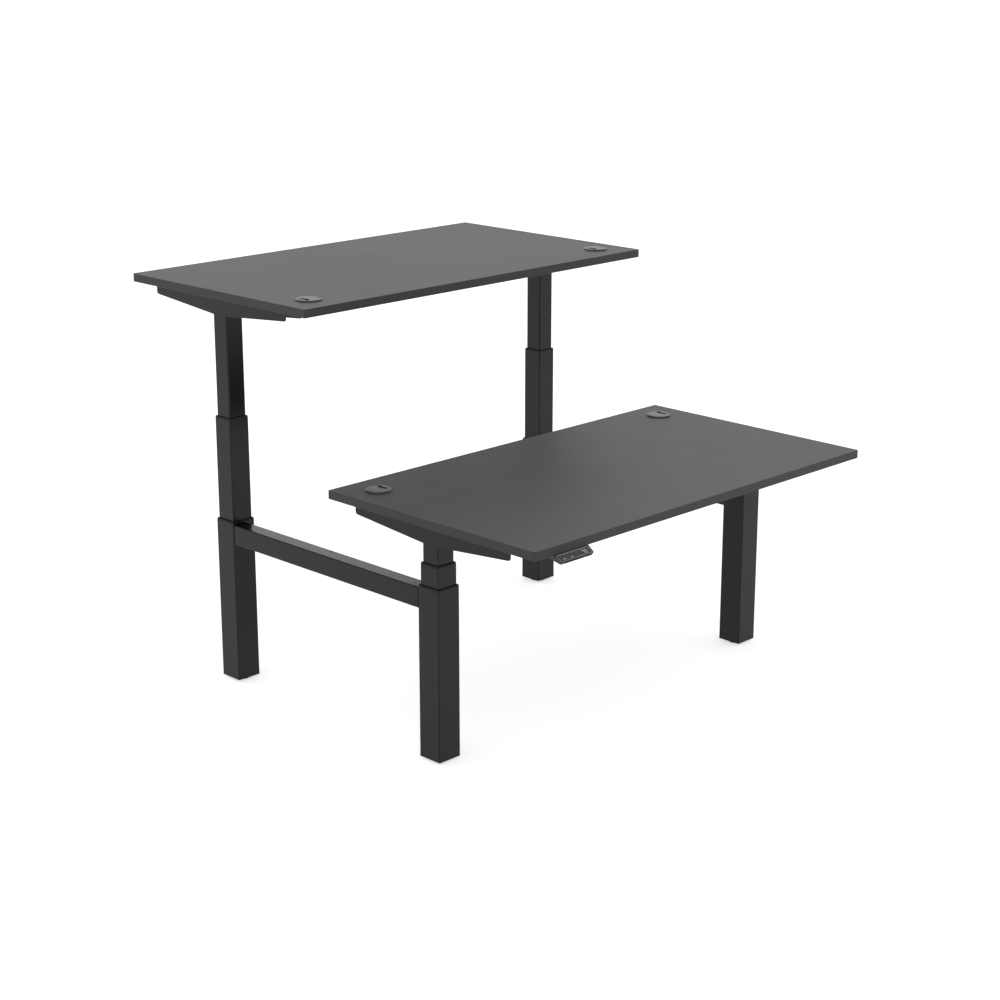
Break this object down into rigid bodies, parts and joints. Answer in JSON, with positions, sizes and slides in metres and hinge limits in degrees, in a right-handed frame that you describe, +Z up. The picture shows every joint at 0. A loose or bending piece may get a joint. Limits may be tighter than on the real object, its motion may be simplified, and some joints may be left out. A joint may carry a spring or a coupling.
{
  "type": "back-to-back height adjustable desk",
  "caption": "Back-to-back sit-stand desks on telescopic square legs joined by side beams, each desktop rising alone, with cable grommets and a key handset.",
  "frame": {"origin": "on the floor, midway between the two desks and midway along them", "axes": "+X along the desktops' long edges, +Y from the front desk to the rear desk, +Z up"},
  "size_m": [1.4, 1.732, 1.2047],
  "materials": {
    "top_laminate": "satin dark grey melamine board",
    "powder_steel": "fine satin black powder coat",
    "zinc_steel": "zinc plated",
    "glide_plastic": "plain moulded black",
    "grommet_plastic": "satin moulded dark grey",
    "foot_plastic": "moulded black nylon",
    "motor_casing": "dark painted casing",
    "handset_plastic": "glossy black panel",
    "key_plastic": "dark grey keys"
  },
  "bodies": {
    "frame": {"left_side_beam": "powder_steel", "right_side_beam": "powder_steel", "beam_stubs": "powder_steel", "beam_screws": "zinc_steel", "outer_glides": "glide_plastic", "floor_screws": "zinc_steel", "front_left_outer_column": "powder_steel", "front_right_outer_column": "powder_steel", "rear_left_outer_column": "powder_steel", "rear_right_outer_column": "powder_steel"},
    "front_middle_stage": {"front_left_middle_column": "powder_steel", "front_right_middle_column": "powder_steel", "front_middle_glides": "glide_plastic", "front_drive_tubes": "zinc_steel"},
    "front_desk": {"front_desktop": "top_laminate", "front_desktop_screws": "zinc_steel", "front_cross_rails": "powder_steel", "front_gearmotors": "motor_casing", "front_control_box": "glide_plastic", "front_grommet_rings": "grommet_plastic", "front_handset": "handset_plastic", "front_left_inner_column": "powder_steel", "front_right_inner_column": "powder_steel", "front_left_bracket": "powder_steel", "front_right_bracket": "powder_steel"},
    "front_left_foot": {"front_left_foot": "foot_plastic"},
    "front_left_grommet_cap": {"front_left_grommet_cap": "grommet_plastic"},
    "front_right_foot": {"front_right_foot": "foot_plastic"},
    "front_right_grommet_cap": {"front_right_grommet_cap": "grommet_plastic"},
    "front_up_button": {"front_up_button": "key_plastic"},
    "front_down_button": {"front_down_button": "key_plastic"},
    "front_memory_button_1": {"front_memory_button_1": "key_plastic"},
    "front_memory_button_2": {"front_memory_button_2": "key_plastic"},
    "front_memory_button_3": {"front_memory_button_3": "key_plastic"},
    "front_save_button": {"front_save_button": "key_plastic"},
    "rear_middle_stage": {"rear_left_middle_column": "powder_steel", "rear_right_middle_column": "powder_steel", "rear_middle_glides": "glide_plastic", "rear_drive_tubes": "zinc_steel"},
    "rear_desk": {"rear_desktop": "top_laminate", "rear_desktop_screws": "zinc_steel", "rear_cross_rails": "powder_steel", "rear_gearmotors": "motor_casing", "rear_control_box": "glide_plastic", "rear_grommet_rings": "grommet_plastic", "rear_handset": "handset_plastic", "rear_left_inner_column": "powder_steel", "rear_right_inner_column": "powder_steel", "rear_left_bracket": "powder_steel", "rear_right_bracket": "powder_steel"},
    "rear_left_foot": {"rear_left_foot": "foot_plastic"},
    "rear_left_grommet_cap": {"rear_left_grommet_cap": "grommet_plastic"},
    "rear_right_foot": {"rear_right_foot": "foot_plastic"},
    "rear_right_grommet_cap": {"rear_right_grommet_cap": "grommet_plastic"},
    "rear_up_button": {"rear_up_button": "key_plastic"},
    "rear_down_button": {"rear_down_button": "key_plastic"},
    "rear_memory_button_1": {"rear_memory_button_1": "key_plastic"},
    "rear_memory_button_2": {"rear_memory_button_2": "key_plastic"},
    "rear_memory_button_3": {"rear_memory_button_3": "key_plastic"},
    "rear_save_button": {"rear_save_button": "key_plastic"}
  },
  "joints": [
    {"name": "front_lift", "type": "slide", "parent": "frame", "child": "front_desk", "axis": [0, 0, 1], "range_m": [-0.055, 0.595]},
    {"name": "front_middle_lift", "type": "slide", "parent": "frame", "child": "front_middle_stage", "axis": [0, 0, 1], "range_m": [-0.0275, 0.2975]},
    {"name": "front_left_foot_turn", "type": "hinge", "parent": "frame", "child": "front_left_foot", "pos_m": [-0.656, -0.44, 0], "axis": [0, 0, 1], "continuous": true},
    {"name": "front_left_cap_turn", "type": "hinge", "parent": "front_desk", "child": "front_left_grommet_cap", "pos_m": [-0.6, -0.14, 0.7], "axis": [0, 0, 1], "continuous": true},
    {"name": "front_right_foot_turn", "type": "hinge", "parent": "frame", "child": "front_right_foot", "pos_m": [0.656, -0.44, 0], "axis": [0, 0, 1], "continuous": true},
    {"name": "front_right_cap_turn", "type": "hinge", "parent": "front_desk", "child": "front_right_grommet_cap", "pos_m": [0.6, -0.14, 0.7], "axis": [0, 0, 1], "continuous": true},
    {"name": "front_up_button_press", "type": "slide", "parent": "front_desk", "child": "front_up_button", "axis": [0, 0.4695, -0.8829], "range_m": [0, 0.0005], "stiffness_N_per_m": 800, "springref_m": -0.001},
    {"name": "front_down_button_press", "type": "slide", "parent": "front_desk", "child": "front_down_button", "axis": [0, 0.4695, -0.8829], "range_m": [0, 0.0005], "stiffness_N_per_m": 800, "springref_m": -0.001},
    {"name": "front_memory_button_1_press", "type": "slide", "parent": "front_desk", "child": "front_memory_button_1", "axis": [0, 0.4695, -0.8829], "range_m": [0, 0.0005], "stiffness_N_per_m": 800, "springref_m": -0.001},
    {"name": "front_memory_button_2_press", "type": "slide", "parent": "front_desk", "child": "front_memory_button_2", "axis": [0, 0.4695, -0.8829], "range_m": [0, 0.0005], "stiffness_N_per_m": 800, "springref_m": -0.001},
    {"name": "front_memory_button_3_press", "type": "slide", "parent": "front_desk", "child": "front_memory_button_3", "axis": [0, 0.4695, -0.8829], "range_m": [0, 0.0005], "stiffness_N_per_m": 800, "springref_m": -0.001},
    {"name": "front_save_button_press", "type": "slide", "parent": "front_desk", "child": "front_save_button", "axis": [0, 0.4695, -0.8829], "range_m": [0, 0.0005], "stiffness_N_per_m": 800, "springref_m": -0.001},
    {"name": "rear_lift", "type": "slide", "parent": "frame", "child": "rear_desk", "axis": [0, 0, 1], "range_m": [-0.555, 0.095]},
    {"name": "rear_middle_lift", "type": "slide", "parent": "frame", "child": "rear_middle_stage", "axis": [0, 0, 1], "range_m": [-0.2775, 0.0475]},
    {"name": "rear_left_foot_turn", "type": "hinge", "parent": "frame", "child": "rear_left_foot", "pos_m": [0.656, 0.44, 0], "axis": [0, 0, 1], "continuous": true},
    {"name": "rear_left_cap_turn", "type": "hinge", "parent": "rear_desk", "child": "rear_left_grommet_cap", "pos_m": [0.6, 0.14, 1.2], "axis": [0, 0, 1], "continuous": true},
    {"name": "rear_right_foot_turn", "type": "hinge", "parent": "frame", "child": "rear_right_foot", "pos_m": [-0.656, 0.44, 0], "axis": [0, 0, 1], "continuous": true},
    {"name": "rear_right_cap_turn", "type": "hinge", "parent": "rear_desk", "child": "rear_right_grommet_cap", "pos_m": [-0.6, 0.14, 1.2], "axis": [0, 0, 1], "continuous": true},
    {"name": "rear_up_button_press", "type": "slide", "parent": "rear_desk", "child": "rear_up_button", "axis": [0, -0.4695, -0.8829], "range_m": [0, 0.0005], "stiffness_N_per_m": 800, "springref_m": -0.001},
    {"name": "rear_down_button_press", "type": "slide", "parent": "rear_desk", "child": "rear_down_button", "axis": [0, -0.4695, -0.8829], "range_m": [0, 0.0005], "stiffness_N_per_m": 800, "springref_m": -0.001},
    {"name": "rear_memory_button_1_press", "type": "slide", "parent": "rear_desk", "child": "rear_memory_button_1", "axis": [0, -0.4695, -0.8829], "range_m": [0, 0.0005], "stiffness_N_per_m": 800, "springref_m": -0.001},
    {"name": "rear_memory_button_2_press", "type": "slide", "parent": "rear_desk", "child": "rear_memory_button_2", "axis": [0, -0.4695, -0.8829], "range_m": [0, 0.0005], "stiffness_N_per_m": 800, "springref_m": -0.001},
    {"name": "rear_memory_button_3_press", "type": "slide", "parent": "rear_desk", "child": "rear_memory_button_3", "axis": [0, -0.4695, -0.8829], "range_m": [0, 0.0005], "stiffness_N_per_m": 800, "springref_m": -0.001},
    {"name": "rear_save_button_press", "type": "slide", "parent": "rear_desk", "child": "rear_save_button", "axis": [0, -0.4695, -0.8829], "range_m": [0, 0.0005], "stiffness_N_per_m": 800, "springref_m": -0.001}
  ],
  "couplings": [
    {"joint": "front_middle_lift", "follows": "front_lift", "ratio": 0.5},
    {"joint": "rear_middle_lift", "follows": "rear_lift", "ratio": 0.5}
  ]
}
